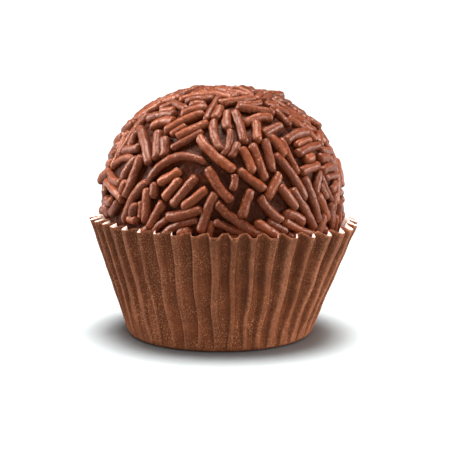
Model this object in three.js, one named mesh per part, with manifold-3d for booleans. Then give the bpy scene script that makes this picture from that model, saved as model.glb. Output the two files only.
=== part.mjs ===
// A brigadeiro: a hand-rolled ball of chocolate fudge, coated with chocolate sprinkles and set in
// a pleated paper sweet case. Millimetres, +Z up. The origin is on the table under the middle of
// the case's base, and the front is -Y. Azimuths run from the front towards +X, heights upwards.
import * as THREE from "three";
import { mergeVertices } from "three/addons/utils/BufferGeometryUtils.js";
import Module from "manifold-3d";

const wasm = await Module();
wasm.setup();

// The paper case, size 5: a flat disc of paper whose edge is pleated up into a wall.
const BASE_RADIUS = 12.5;
const BASE_FOLD = 1.0; // the rounding between base and wall reaches this far to each side
const WALL_LENGTH = 16.3; // paper from the base fold to the cut edge
const PAPER = 0.25;
const FLUTES = 42;
const FLUTE_DEPTH = 1.45; // at the cut edge
const FLUTE_GROWTH = 0.62; // power by which the depth grows from the base fold up
const KEPT_CLEAR = 1.75; // depth inside the ridges, at the cut edge, that the sprinkles keep out of
const RIDGE_SHARPNESS = 2; // 1 is a plain wave, more makes its ridges narrower than its folds
const WALL_LEAN = 18.4; // degrees outwards from upright
// Where the wall sags open or stands steeper: azimuth, degrees of lean, half width in degrees.
const SAGS = [
  [50, 4.2, 32],
  [105, 2.6, 45],
  [-160, 1.0, 60],
  [-63, -2.2, 18],
];
// The flutes are bunched at the front and the back and spread at the sides, in degrees.
const BUNCHING = { twice: 3.8, twiceFrom: 12, once: 3.0, onceFrom: 38, turn: -2.2 };

// The ball of fudge: it narrows down to a flat spot below its middle, and is slightly lumpy.
const BALL_CENTRE = new THREE.Vector3(0.4, 0.3, 17.5);
const BALL_RADIUS = 15.25;
const BALL_UP = 14.75;
const BALL_DOWN = 16.9;
const SHOULDER = 2.2; // 2 would make the upper half an ellipsoid, and more squares its shoulders
const TAPER = 1.85; // the same for the lower half, which less than 2 makes pointed
const LUMP = 0.008; // share of the radius
const GAP = 0.3; // kept between the ball and the case

// The sprinkles: short rods of chocolate, pressed into the fudge by rolling.
const SPRINKLE_RADIUS = [0.47, 0.66];
const PLACED_RADIUS = 0.61; // of the ones set by hand
const SUNK = 0.14; // share of a sprinkle's thickness that is in the fudge
const HUG = 0.6; // share of the ball's roundness that a long sprinkle follows
const SCATTER = 140; // degrees
const BEND = 0.2; // share of its length that one bends sideways, at most half to each side
const LEAN = 0.5; // slope at which one starts, at most half up or down
const SEED = 64;
const LOWEST = 8; // further down the paper hides the ball, which stays bare there
const COUNT = 900; // places on the whole ball that sprinkles are tossed at, each time
const STRAY = 0.1; // radians that such a place strays, at most half to each side
const TOSSED = 2.4; // the most that one starts above the others
// Kinds of sprinkles in each toss: how many of each thousand, shortest and longest.
const TOSSES = [
  [
    [120, 5.6, 7.4],
    [310, 4.4, 5.6],
    [350, 3.3, 4.4],
    [220, 2.3, 3.3],
  ],
  [
    [400, 2.6, 3.6],
    [600, 2.0, 2.6],
  ],
];
const NEAREST = 1.0; // closest to a sprinkle's axis that the next toss may aim
// Bare places: azimuth, height and reach in degrees.
const BARE = [
  [2, -3, 9],
  [-17, 22, 7],
];
// Settling: rounds, and the overlap, as a share of their thickness, above which one is left out.
const PHASES = [
  [60, 0.5],
  [40, 0.33],
  [40, 0.2],
];
const SPACING = 0.96; // closest that two lie, in sums of their radii
const PRESSED = 0.25; // share of its height above the fudge that a sprinkle falls in each round
const HIGHEST = 1.0; // the most that one lies above its place on the fudge
const KEPT_LOW = 2.5; // thickest radii round the ones set by hand where none may lie above it
const PAIRING = 10; // rounds between searches for sprinkles that are near each other
const WATCHED = 2.6; // thickest radii between the ones found, besides the height they may fall
const TOO_LOW = 0.06; // the most that a settled one may lack of its gap to the case
// Where one stands out of the coat: azimuth, height, and the slope at which its end is lifted.
const STICKING_OUT = [
  [84, 56, 0.2],
  [82, 38, 0.25],
  [-82, 8, -0.2],
  [-62, 64, 0.06],
  [25, 68, -0.15],
  [130, 40, 0.25],
  [165, 15, -0.25],
  [-145, 25, 0.25],
  [-170, 55, 0.2],
  [110, 5, 0.25],
  [-115, 0, -0.25],
];
const LENGTH_OUT = [3.1, 4.6];
// The sprinkles that are in the solid: the longer ones that the paper doesn't hide.
const SHORTEST_FUSED = 3.1;
const HIDDEN = 2; // depth below the rim of the case from which it hides them
const NOT_CROSSING = 0.87; // closest that two lie there, in sums of their radii
const FUSED_SIDES = 5;
const SWELL = 0.15; // stands the core's flat faces out to where the round fudge is

// Sprinkles set by hand: azimuth, height, turn from level, length, sideways bend.
const PLACED = [
  // The long bent one over the front, and the row lying below it
  [-24, 24, 20, 7.8, 1.7],
  [-26, 18, 32, 3.5, 0],
  [-24, 13, 50, 3.4, 0],
  [-18, 12, 52, 4.8, 0],
  [-13, 9, 37, 4.0, 0],
  // The two slanting down beside it
  [-4, 29, -45, 6.6, -0.4],
  [-2, 15, -54, 5.2, -0.2],
  // The low front, round the bare fudge
  [-32, 1, 57, 4.0, 0],
  [-46, 6, 55, 6.8, 0.5],
  [-7, 3, 70, 5.4, 0.2],
  [6, 0, -37, 6.6, -0.4],
  // The left shoulder
  [-49, 33, -43, 7.4, 0.3],
  [-38, 33, -70, 4.4, 0],
  [-26, 46, 38, 5.6, 0.3],
  [-18, 41, 32, 4.4, 0],
  [-74, 57, 40, 7.4, 0.6],
  // The right shoulder and the steep ones below it
  [10, 43, -84, 5.4, 0],
  [26, 54, -16, 5.2, 0],
  [30, 41, 22, 3.6, 0],
  [17, 25, -76, 5.0, 0],
  [23, 28, -88, 4.4, 0],
  [13, 17, -38, 4.2, 0],
  [10, 7, 71, 3.8, 0],
  [23, 14, 55, 3.8, 0],
  [21, 4, -46, 4.4, -0.4],
  [34, 18, -59, 7.0, 0.3],
  [40, 3, -55, 6.6, 0],
  [46, 7, -69, 6.4, 0],
  [47, 21, 8, 4.0, 0],
  [51, 30, 9, 5.6, 0.2],
];

// Finishes
const FUDGE_COLOUR = 0x56301f;
const PAPER_COLOUR = 0x6a4230;

const radians = THREE.MathUtils.degToRad;
const degrees = THREE.MathUtils.radToDeg;

// A generator of repeatable random numbers from 0 to 1
function random(seed) {
  let state = seed;
  return () => {
    state = (state + 0x6d2b79f5) | 0;
    let t = Math.imul(state ^ (state >>> 15), state | 1);
    t = (t + Math.imul(t ^ (t >>> 7), t | 61)) ^ t;
    return ((t ^ (t >>> 14)) >>> 0) / 4294967296;
  };
}

// The unit vector towards an azimuth and a height, both in radians
function direction(azimuth, height) {
  return new THREE.Vector3(
    Math.sin(azimuth) * Math.cos(height),
    -Math.cos(azimuth) * Math.cos(height),
    Math.sin(height),
  );
}

// Joining -----------------------------------------------------------------------------------

function toSolid(geometry) {
  const bare = geometry.clone();
  bare.deleteAttribute("normal");
  bare.deleteAttribute("uv");
  const merged = mergeVertices(bare, 1e-4);
  return new wasm.Manifold(
    new wasm.Mesh({
      numProp: 3,
      vertProperties: merged.attributes.position.array,
      triVerts: new Uint32Array(merged.index.array),
    }),
  );
}

function toGeometry(solid) {
  const mesh = solid.getMesh();
  const geometry = new THREE.BufferGeometry();
  geometry.setAttribute("position", new THREE.BufferAttribute(mesh.vertProperties, 3));
  geometry.setIndex(new THREE.BufferAttribute(mesh.triVerts, 1));
  geometry.computeVertexNormals();
  return geometry;
}

// The paper case ----------------------------------------------------------------------------

// The azimuth of a place counted in flutes, in radians
function fluteAzimuth(flute) {
  const even = (flute * 360) / FLUTES;
  const b = BUNCHING;
  const once = b.once * Math.sin(radians(even - b.onceFrom));
  const twice = b.twice * Math.sin(radians(2 * (even - b.twiceFrom)));
  return radians(even + once - twice + b.turn);
}

// How far the wall leans outwards at an azimuth
function wallLean(azimuth) {
  let lean = WALL_LEAN;
  for (const [middle, more, width] of SAGS) {
    const away = THREE.MathUtils.euclideanModulo(degrees(azimuth) - middle + 180, 360) - 180;
    lean += more * Math.exp(-((away / width) ** 2));
  }
  return radians(lean);
}

function fluteGrowth(along) {
  return Math.pow(Math.max(0, along) / WALL_LENGTH, FLUTE_GROWTH);
}

// 1 on the outer ridge of a flute, 0 in the fold between two
function fluteWave(flute) {
  return Math.cos(Math.PI * flute) ** (2 * RIDGE_SHARPNESS);
}

// The middle of the paper, at a place counted in flutes and a distance up from the base fold.
// Below zero the distance runs inwards along the base, and the fold itself is rounded.
function paperMiddle(flute, along) {
  const azimuth = fluteAzimuth(flute);
  const lean = wallLean(azimuth);
  const out = new THREE.Vector2(Math.sin(lean), Math.cos(lean));
  const level = new THREE.Vector2(BASE_RADIUS + Math.min(along, 0), 0);
  const raised = out.clone().multiplyScalar(Math.max(along, 0));
  const profile = level.add(raised);
  if (Math.abs(along) < BASE_FOLD) {
    const t = (along + BASE_FOLD) / (2 * BASE_FOLD);
    profile.set(BASE_RADIUS - BASE_FOLD * (1 - t) ** 2, 0);
    profile.addScaledVector(out, BASE_FOLD * t ** 2);
  }
  const inwards = new THREE.Vector2(-out.y, out.x);
  profile.addScaledVector(inwards, FLUTE_DEPTH * fluteGrowth(along) * (1 - fluteWave(flute)));
  return direction(azimuth, 0)
    .multiplyScalar(profile.x)
    .setZ(PAPER / 2 + profile.y);
}

// A point on one face of the paper: side is 1 outside and -1 inside
function paperFace(flute, along, side) {
  const step = 1e-3;
  const round = paperMiddle(flute + step, along).sub(paperMiddle(flute - step, along));
  const up = paperMiddle(flute, along + step).sub(paperMiddle(flute, along - step));
  const normal = round.cross(up).normalize();
  return paperMiddle(flute, along).addScaledVector(normal, (side * PAPER) / 2);
}

// The distance from a point inside or above the case to the surface that is kept clear
function caseDistance(point) {
  const lean = wallLean(Math.atan2(point.x, -point.y));
  const rim = WALL_LENGTH * Math.cos(lean) + KEPT_CLEAR * Math.sin(lean);
  const along = Math.min(point.z, rim) / Math.cos(lean);
  const clear = KEPT_CLEAR * fluteGrowth(along) * Math.cos(lean);
  const inwards = BASE_RADIUS + along * Math.sin(lean) - clear - Math.hypot(point.x, point.y);
  const apart = point.z < rim ? inwards * Math.cos(lean) : Math.hypot(inwards, point.z - rim);
  return apart - PAPER / 2;
}

// A lathe turns the shell's plain section, and each of its points then moves to the pleated paper.
function caseGeometry() {
  const columns = 6 * FLUTES;
  const stations = [-1.1 * BASE_FOLD, 0.9 * BASE_FOLD, 0.45 * WALL_LENGTH, WALL_LENGTH];
  const faces = [
    ...stations.map((along) => ({ along, side: 1 })),
    ...stations.toReversed().map((along) => ({ along, side: -1 })),
  ];
  const section = faces.map(({ along, side }) => {
    const point = paperFace(0, along, side);
    return new THREE.Vector2(Math.hypot(point.x, point.y), point.z);
  });
  const under = new THREE.Vector2(0, 0);
  const inside = new THREE.Vector2(0, PAPER);
  const geometry = new THREE.LatheGeometry([under, ...section, inside], columns);
  const rows = faces.length + 2;
  const position = geometry.attributes.position;
  for (let column = 0; column <= columns; column++) {
    faces.forEach(({ along, side }, row) => {
      const flute = ((column % columns) * FLUTES) / columns;
      const point = paperFace(flute, along, side);
      position.setXYZ(column * rows + row + 1, point.x, point.y, point.z);
    });
    position.setXYZ(column * rows, 0, 0, 0);
    position.setXYZ(column * rows + rows - 1, 0, 0, PAPER);
  }
  return geometry;
}

// The ball of fudge -------------------------------------------------------------------------

// The fudge's surface in a direction from its middle
function fudgePoint(towards) {
  const azimuth = Math.atan2(towards.x, -towards.y);
  const level = Math.hypot(towards.x, towards.y);
  const [reach, power] = towards.z > 0 ? [BALL_UP, SHOULDER] : [BALL_DOWN, TAPER];
  const shares = (level / BALL_RADIUS) ** power + (Math.abs(towards.z) / reach) ** power;
  const smooth = shares ** (-1 / power);
  const lumps =
    Math.sin(3 * azimuth + 1) * level + Math.sin(5 * azimuth + 4 * towards.z) * level ** 2;
  const point = towards.clone().multiplyScalar(smooth * (1 + LUMP * lumps)).add(BALL_CENTRE);
  return point.setZ(Math.max(point.z, PAPER + GAP));
}

function fudgeGeometry() {
  const geometry = new THREE.IcosahedronGeometry(1, 3);
  const position = geometry.attributes.position;
  const towards = new THREE.Vector3();
  for (let i = 0; i < position.count; i++) {
    const point = fudgePoint(towards.fromBufferAttribute(position, i).normalize());
    point.addScaledVector(towards, point.z > PAPER + GAP ? SWELL : 0);
    position.setXYZ(i, point.x, point.y, point.z);
  }
  return geometry;
}

// The sprinkles -----------------------------------------------------------------------------

// A sprinkle: its middle, the way it points, a rule for any point along and round it, and a row
// of beads along its axis, no more than its radius apart
class Sprinkle {
  constructor(azimuth, height, turn, length, bend, radius, rise = 0, lean = 0) {
    Object.assign(this, { length, bend, radius, held: false, highest: HIGHEST });
    const out = direction(azimuth, height);
    const level = direction(azimuth + Math.PI / 2, 0);
    const up = out.clone().cross(level);
    this.along = level.multiplyScalar(Math.cos(turn)).addScaledVector(up, Math.sin(turn));
    this.along.addScaledVector(out, lean).normalize();
    this.arch = length ** 2 / (8 * BALL_RADIUS);
    this.middle = fudgePoint(out).addScaledVector(out, this.rest(0) + rise);
    const span = length - 2 * radius;
    const count = Math.ceil(span / radius) + 1;
    this.beads = Array.from({ length: count }, (_, i) => {
      const t = span * (i / (count - 1) - 0.5);
      return { owner: this, t, swing: (12 * t) / length ** 2 };
    });
    this.shift = new THREE.Vector3();
    this.swing = new THREE.Vector3();
    this.pushes = 0;
    this.placeBeads();
  }

  placeBeads() {
    for (const bead of this.beads) bead.place = this.at(bead.t, 0, 0);
  }

  // The height over the fudge of a point on its axis when it lies on the fudge
  rest(t) {
    const out = ((2 * t) / this.length) ** 2;
    return this.radius * (1 - 2 * SUNK) + (1 - HUG) * this.arch * (out - 0.5);
  }

  // A point by its distances along, aside of and above the middle
  at(t, aside, above) {
    const { middle, along, length, bend, arch } = this;
    const normal = middle.clone().sub(BALL_CENTRE);
    normal.addScaledVector(along, -normal.dot(along)).normalize();
    const out = ((2 * t) / length) ** 2;
    return middle
      .clone()
      .addScaledVector(along, t)
      .addScaledVector(normal.clone().cross(along), aside + bend * (0.5 - out))
      .addScaledVector(normal, above - HUG * arch * out);
  }

  push(bead, force) {
    this.shift.add(force);
    this.swing.addScaledVector(force, bead.swing);
    this.pushes += 1;
  }

  // Shifts and swings it by the mean of the pushes on its beads
  move() {
    const share = this.held ? 0 : 1 / Math.max(1, this.pushes);
    this.middle.addScaledVector(this.shift, share);
    this.along.addScaledVector(this.swing, share).normalize();
    this.shift.set(0, 0, 0);
    this.swing.set(0, 0, 0);
    this.pushes = 0;
    this.placeBeads();
  }
}

const moveAll = (coat) => coat.forEach((sprinkle) => sprinkle.move());

// Pairs of beads of different sprinkles that may come to touch, where one can still move
function closePairs(coat) {
  const reach = WATCHED * SPRINKLE_RADIUS[1] + TOSSED;
  const pairs = [];
  coat.forEach((one, index) => {
    for (const other of coat.slice(index + 1)) {
      const far = reach + (one.length + other.length) / 2;
      if (one.held && other.held) continue;
      if (one.middle.distanceTo(other.middle) > far) continue;
      for (const a of one.beads) {
        for (const b of other.beads) {
          if (a.place.distanceTo(b.place) < reach) pairs.push([a, b]);
        }
      }
    }
  });
  return pairs;
}

// How far two beads are inside the distance that their sprinkles keep
function overlap([a, b]) {
  return SPACING * (a.owner.radius + b.owner.radius) - a.place.distanceTo(b.place);
}

function pushApart(coat, pairs) {
  const yielding = ({ owner, swing, t }) => (owner.held ? 0 : 1 + swing * t);
  for (const [a, b] of pairs) {
    const depth = overlap([a, b]);
    if (depth <= 0) continue;
    const share = depth / Math.max(1e-9, yielding(a) + yielding(b));
    const force = b.place.clone().sub(a.place).setLength(share);
    b.owner.push(b, force);
    a.owner.push(a, force.negate());
  }
  moveAll(coat);
}

// Lifts what is too deep in the fudge, and lets down what is above it
function press(coat, pressed) {
  for (const sprinkle of coat) {
    for (const bead of sprinkle.beads) {
      const out = bead.place.clone().sub(BALL_CENTRE);
      const reach = out.length();
      out.normalize();
      const surface = fudgePoint(out).distanceTo(BALL_CENTRE);
      const short = surface + sprinkle.rest(bead.t) - reach;
      const fall = Math.min(pressed * short, short + sprinkle.highest);
      sprinkle.push(bead, out.multiplyScalar(short > 0 ? short : fall));
    }
  }
  moveAll(coat);
}

function leaveCase(coat) {
  for (const sprinkle of coat) {
    for (const bead of sprinkle.beads) {
      const short = sprinkle.radius + GAP - caseDistance(bead.place);
      if (short <= 0) continue;
      const { x, y } = bead.place;
      const inwards = new THREE.Vector3(-x, -y, 0).normalize().setZ(1);
      sprinkle.push(bead, inwards.multiplyScalar(short / 2));
    }
  }
  moveAll(coat);
}

// Rounding each round's result keeps the arrangement the same on every machine
function settle(coat, rounds) {
  const rounded = (vector, finest) => vector.divideScalar(finest).round().multiplyScalar(finest);
  let pairs;
  for (let turn = 0; turn < rounds; turn++) {
    if (turn % PAIRING === 0) pairs = closePairs(coat);
    pushApart(coat, pairs);
    press(coat, PRESSED * (1 - turn / rounds));
    leaveCase(coat);
    for (const sprinkle of coat) {
      rounded(sprinkle.middle, 1e-6);
      rounded(sprinkle.along, 1e-9);
      sprinkle.placeBeads();
    }
  }
}

// Leaves out the sprinkles that found no room
function dropCrossing(coat, deepest) {
  const dropped = new Set();
  for (const sprinkle of coat) {
    const least = sprinkle.radius + GAP - TOO_LOW;
    if (sprinkle.beads.some(({ place }) => caseDistance(place) < least)) dropped.add(sprinkle);
  }
  const crossings = closePairs(coat)
    .map((pair) => {
      const owners = pair.map(({ owner }) => owner);
      return { owners, share: overlap(pair) / (owners[0].radius + owners[1].radius) };
    })
    .filter(({ share }) => share > deepest)
    .sort((one, other) => other.share - one.share);
  for (const { owners } of crossings) {
    const [first, second] = owners;
    if (dropped.has(first) || dropped.has(second)) continue;
    const shorter = second.length < first.length ? second : first;
    const loser = first.held ? second : second.held ? first : shorter;
    dropped.add(loser);
  }
  return coat.filter((sprinkle) => sprinkle.held || !dropped.has(sprinkle));
}

// The way most sprinkles lie: steep low on the ball, and level near its top
function flow(azimuth, height) {
  const steep = 15 + 55 * (1 - THREE.MathUtils.smoothstep(degrees(height), 35, 55));
  return radians(Math.sin(azimuth) > 0 ? -steep : steep);
}

// The shortest and longest of the kind that a place, counted in thousandths, falls on
function lengthsAt(kinds, place) {
  let end = 0;
  const kind = kinds.find(([share]) => {
    end += share;
    return place < end;
  });
  return kind.slice(1);
}

// Sprinkles above an even spiral of places over the whole ball
function toss(draw, kinds) {
  const [thin, thick] = SPRINKLE_RADIUS;
  const start = 2 * Math.PI * draw();
  return Array.from({ length: COUNT }, (_, i) => {
    const length = THREE.MathUtils.lerp(...lengthsAt(kinds, 1000 * draw()), draw());
    const height = Math.asin(1 - (2 * i + 1) / COUNT);
    const azimuth = start + i * Math.PI * (3 - Math.sqrt(5)) + STRAY * (draw() - 0.5);
    const turn = flow(azimuth, height) + radians(SCATTER * (draw() - 0.5));
    const bend = BEND * length * (draw() - 0.5);
    const radius = THREE.MathUtils.lerp(thin, thick, draw());
    const rise = TOSSED * draw();
    const lean = LEAN * (draw() - 0.5);
    return new Sprinkle(azimuth, height, turn, length, bend, radius, rise, lean);
  });
}

// The tossed sprinkles whose place on the fudge is to be covered and is free
function aimedWell(tossed, coat) {
  const bare = BARE.map(([azimuth, height, reach]) => ({
    towards: direction(radians(azimuth), radians(height)),
    reach: radians(reach),
  }));
  const nearest = (beads, place) => Math.min(...beads.map((bead) => bead.place.distanceTo(place)));
  const beads = coat.flatMap((sprinkle) => sprinkle.beads);
  const held = beads.filter(({ owner }) => owner.held);
  return tossed.filter((sprinkle) => {
    const out = sprinkle.middle.clone().sub(BALL_CENTRE).normalize();
    const aim = fudgePoint(out);
    const lowering = nearest(held, aim) / SPRINKLE_RADIUS[1] - KEPT_LOW;
    sprinkle.highest *= THREE.MathUtils.clamp(lowering, 0, 1);
    return (
      sprinkle.middle.z > LOWEST &&
      bare.every(({ towards, reach }) => out.angleTo(towards) > reach) &&
      nearest(beads, aim) > NEAREST
    );
  });
}

// Lifts one end of the sprinkle that is nearest to each place where one stands out
function liftEnds(coat) {
  const [shortest, longest] = LENGTH_OUT;
  const fitting = coat.filter(
    ({ held, length }) => !held && length > shortest && length < longest,
  );
  for (const [azimuth, height, slope] of STICKING_OUT) {
    const towards = direction(radians(azimuth), radians(height));
    const near = ({ middle }) => middle.clone().sub(BALL_CENTRE).normalize().dot(towards);
    const lifted = fitting.reduce((one, other) => (near(other) > near(one) ? other : one));
    const out = lifted.middle.clone().sub(BALL_CENTRE).normalize();
    lifted.middle.addScaledVector(out, (Math.abs(slope) * lifted.length) / 2);
    lifted.along.addScaledVector(out, slope).normalize();
    lifted.placeBeads();
  }
}

// Sprinkles tossed evenly over the fudge settle on it and push each other apart
function spreadSprinkles() {
  const draw = random(SEED);
  let coat = PLACED.map(([azimuth, height, turn, length, bend]) => {
    const angles = [azimuth, height, turn].map(radians);
    return Object.assign(new Sprinkle(...angles, length, bend, PLACED_RADIUS), { held: true });
  });
  for (const kinds of TOSSES) {
    coat.push(...aimedWell(toss(draw, kinds), coat));
    for (const [rounds, deepest] of PHASES) {
      settle(coat, rounds);
      coat = dropCrossing(coat, deepest);
    }
  }
  liftEnds(coat);
  return coat;
}

// A blunt-ended rod in its place, flat below, with a ring in its middle where it bends
function sprinkleGeometry(sprinkle) {
  const { length, radius, bend } = sprinkle;
  const end = length / 2;
  const shoulder = end - 0.45 * radius;
  const profile = [new THREE.Vector2(0, -end), new THREE.Vector2(radius, -shoulder)];
  if (length > 6 || Math.abs(bend) > 0.5) profile.push(new THREE.Vector2(radius, 0));
  profile.push(new THREE.Vector2(radius, shoulder), new THREE.Vector2(0, end));
  const geometry = new THREE.LatheGeometry(profile, FUSED_SIDES);
  const position = geometry.attributes.position;
  for (let i = 0; i < position.count; i++) {
    const point = sprinkle.at(position.getY(i), -position.getX(i), position.getZ(i));
    position.setXYZ(i, point.x, point.y, point.z);
  }
  return geometry;
}

// The longer sprinkles in view, without any that cuts into a longer one
function fusedSprinkles() {
  const rim = WALL_LENGTH * Math.cos(radians(WALL_LEAN));
  const fused = [];
  const crosses = (one) => (other) => {
    const closest = NOT_CROSSING * (one.radius + other.radius);
    return one.beads.some((a) => other.beads.some((b) => a.place.distanceTo(b.place) < closest));
  };
  const inView = spreadSprinkles().filter(
    ({ length, middle }) => length > SHORTEST_FUSED && middle.z > rim - HIDDEN,
  );
  for (const sprinkle of inView.sort((one, other) => other.length - one.length)) {
    if (!fused.some(crosses(sprinkle))) fused.push(sprinkle);
  }
  return fused;
}

// The core with its sprinkles fused on. Of what that makes only the outer body is kept, without
// a sprinkle that touches nothing or the walls of a sealed hollow.
function ballGeometry() {
  let solid = toSolid(fudgeGeometry());
  for (const sprinkle of fusedSprinkles()) solid = solid.add(toSolid(sprinkleGeometry(sprinkle)));
  const [body] = solid.decompose().sort((one, other) => other.volume() - one.volume());
  return toGeometry(body);
}

// The part ----------------------------------------------------------------------------------

function named(name, geometry, colour, roughness) {
  const material = new THREE.MeshStandardMaterial({ color: colour, roughness, metalness: 0 });
  const mesh = new THREE.Mesh(geometry, material);
  mesh.name = name;
  return mesh;
}

const brigadeiro = new THREE.Group();
brigadeiro.add(named("ball", ballGeometry(), FUDGE_COLOUR, 0.45));
brigadeiro.add(named("paper_case", caseGeometry(), PAPER_COLOUR, 0.85));

export default brigadeiro;
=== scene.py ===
import math

import bmesh
import bpy
import numpy as np
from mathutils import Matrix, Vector, kdtree, noise


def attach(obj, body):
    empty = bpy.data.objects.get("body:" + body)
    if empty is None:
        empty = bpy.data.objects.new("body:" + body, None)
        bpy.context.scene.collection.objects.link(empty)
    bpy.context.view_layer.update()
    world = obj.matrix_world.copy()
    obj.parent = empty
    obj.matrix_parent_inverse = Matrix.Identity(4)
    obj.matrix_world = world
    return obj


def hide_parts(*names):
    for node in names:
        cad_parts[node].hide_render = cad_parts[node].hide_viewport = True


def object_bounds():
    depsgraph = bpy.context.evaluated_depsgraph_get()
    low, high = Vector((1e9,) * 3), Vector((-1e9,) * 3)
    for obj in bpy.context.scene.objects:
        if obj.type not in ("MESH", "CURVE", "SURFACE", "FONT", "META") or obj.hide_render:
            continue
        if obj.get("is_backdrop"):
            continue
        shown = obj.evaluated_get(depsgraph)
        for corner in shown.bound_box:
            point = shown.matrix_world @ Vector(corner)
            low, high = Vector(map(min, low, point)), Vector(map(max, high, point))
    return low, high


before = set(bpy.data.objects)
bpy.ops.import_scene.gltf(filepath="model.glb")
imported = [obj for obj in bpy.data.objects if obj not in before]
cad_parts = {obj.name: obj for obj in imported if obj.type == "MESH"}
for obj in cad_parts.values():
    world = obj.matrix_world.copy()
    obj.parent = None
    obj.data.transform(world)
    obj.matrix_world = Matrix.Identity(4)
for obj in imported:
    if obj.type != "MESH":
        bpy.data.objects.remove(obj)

# A brigadeiro: a fudge ball rolled in chocolate sprinkles, in a pleated paper sweet case.
# The ball node is replaced by smooth fudge and separate fine sprinkles, and the case node by
# thin creased paper, brown outside and cream inside. Sizes are in metres, worked out in mm.
# Azimuths run from the front, -Y, towards +X, and heights upwards from the ball's middle.
MM = 0.001
cad_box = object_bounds()

# The paper case ------------------------------------------------------------------------------

BASE_RADIUS = 12.5 * MM
BASE_FOLD = 1.0 * MM  # the rounding between base and wall reaches this far to each side
WALL_LENGTH = 16.3 * MM  # paper from the base fold to the cut edge
CAD_PAPER = 0.25 * MM  # the solid's thickness, whose middle the thin paper follows
PAPER = 0.08 * MM  # the thin paper's own thickness
FLUTES = 42
FLUTE_DEPTH = 1.45 * MM  # at the cut edge
FLUTE_GROWTH = 0.62  # power by which the depth grows from the base fold up
KEPT_CLEAR = 1.75 * MM  # depth inside the ridges, at the cut edge, that the sprinkles keep out of
RIDGE_TOP = 0.12  # half width of a ridge's top, in flutes
TOP_VARIES = 0.4  # share by which one is wider or narrower than that
RIDGE_LEFT, RIDGE_RIGHT = 0.09, 0.2  # widths of its sloping sides, in flutes
RIM_SPREAD = 0.9  # how much wider these are at the cut edge, as a share
RIDGE_ROUNDING = (0.4, 1.0)  # of their corners, low down and at the cut edge, 1 being a smooth S
RIM_POWER = 4  # by which the ridges change towards the cut edge
RIDGE_STEPS = (12.9898, 78.233, 39.425, 93.989)  # radians, whose sines differ from ridge to ridge
UNEVEN = 0.24  # share of its height that a ridge may lack
FOLD_TILT = 0.5  # height of a fold at its left end, from where it deepens to the next ridge
WANDER = 0.08  # how far the creases stray sideways, in flutes
WANDER_LENGTH = 1.7 * MM  # of paper, for each radian of their bends
WANDER_PHASE = 3  # radians that the bends of one crease are shifted, at most to each side
WANDER_POWER = 3  # by which the straying stops towards the cut edge
WRINKLE = 0.2 * MM  # deepest that the wrinkles are
WRINKLE_SIZE = 1.1 * MM
WRINKLE_STRETCH = 3  # how much longer than wide they are
HIGHLIGHT_WIDTH = 0.05  # of the painted highlight, a pale line along the left edge of a ridge, in flutes
HIGHLIGHT_LINE, HIGHLIGHT_TOP = 0.7, 0.3  # how strong the painted highlight is in that line and over a ridge's top
LESS_HIGHLIGHT = 0.6  # share of its painted highlight that a ridge may lack
WALL_LEAN = 18.4  # degrees outwards from upright
# Where the wall sags open or stands steeper: azimuth, degrees of lean, half width in degrees
SAGS = ((50, 4.2, 32), (105, 2.6, 45), (-160, 1.0, 60), (-63, -2.2, 18))
# The flutes are bunched at the front and the back and spread at the sides, in degrees
BUNCH_TWICE, BUNCH_TWICE_FROM, BUNCH_ONCE, BUNCH_ONCE_FROM, BUNCH_TURN = 3.8, 12, 3.0, 38, -2.2
COLUMNS_PER_FLUTE = 24
WALL_ROWS = 26
FOLD_ROWS = 7
BASE_ROWS = 5
BASE_MIDDLE = 0.3 * MM  # radius of the innermost row
BESIDE_FOLD = (1.2, 1.3)  # places of the last row of the base and the first of the wall, in folds

# The ball of fudge ---------------------------------------------------------------------------

BALL_CENTRE = np.array([0.4, 0.3, 17.5]) * MM
BALL_RADIUS = 15.25 * MM
BALL_UP = 14.75 * MM  # its reach above that centre
BALL_DOWN = 16.9 * MM  # and below, if it didn't end in a flat spot
SHOULDER = 2.2  # 2 would make the upper half an ellipsoid, and more squares its shoulders
TAPER = 1.85  # the same for the lower half, which less than 2 makes pointed
LUMP = 0.008  # share of the radius
GAP = 0.3 * MM  # kept between the ball and the case
FUDGE_DETAIL = 7  # times that the faces of an icosahedron are split, counting from 1
MENISCUS = 0.10 * MM  # how far the fudge rises against a sprinkle
MENISCUS_REACH = 0.35 * MM
MENISCUS_FROM = 0.9  # radii from a sprinkle's axis at which the rise starts to fall off
DENTS = ((1.6 * MM, 0.10 * MM), (0.5 * MM, 0.035 * MM))  # width and depth

# The sprinkles -------------------------------------------------------------------------------

SPRINKLE_RADIUS = (0.47 * MM, 0.66 * MM)
PLACED_RADIUS = 0.61 * MM  # of the listed ones
SUNK = 0.14  # share of a sprinkle's thickness that is in the fudge
HUG = 0.6  # share of the ball's roundness that a long sprinkle follows
STEEP, LEVEL = 70, 15  # degrees that most sprinkles slope, low on the ball and near its top
STEEP_BELOW, LEVEL_ABOVE = 35, 55  # degrees of height between which that slope eases
SCATTER = 140  # degrees that one is turned from it, at most half to each side
BEND = 0.2  # share of its length that a sprinkle bends sideways, at most half to each side
LEAN = 0.5  # slope at which it starts, at most half up or down
SEED = 64
LOWEST = 8 * MM  # further down the paper hides the ball from every side, so it stays bare there
COUNT = 900  # places on the whole ball that sprinkles are tossed at, each time
STRAY = 0.1  # radians that such a place strays, at most half to each side
TOSSED = 2.4 * MM  # the most that one starts above the others
# Kinds of sprinkles in each toss: how many of each thousand, shortest and longest in mm
TOSSES = (
    ((120, 5.6, 7.4), (310, 4.4, 5.6), (350, 3.3, 4.4), (220, 2.3, 3.3)),
    ((400, 2.6, 3.6), (600, 2.0, 2.6)),
)
NEAREST = 1.0 * MM  # closest to a sprinkle's axis that the next toss may aim
# Bare places: azimuth, height and reach in degrees
BARE = ((2, -3, 9), (-17, 22, 7))
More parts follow.
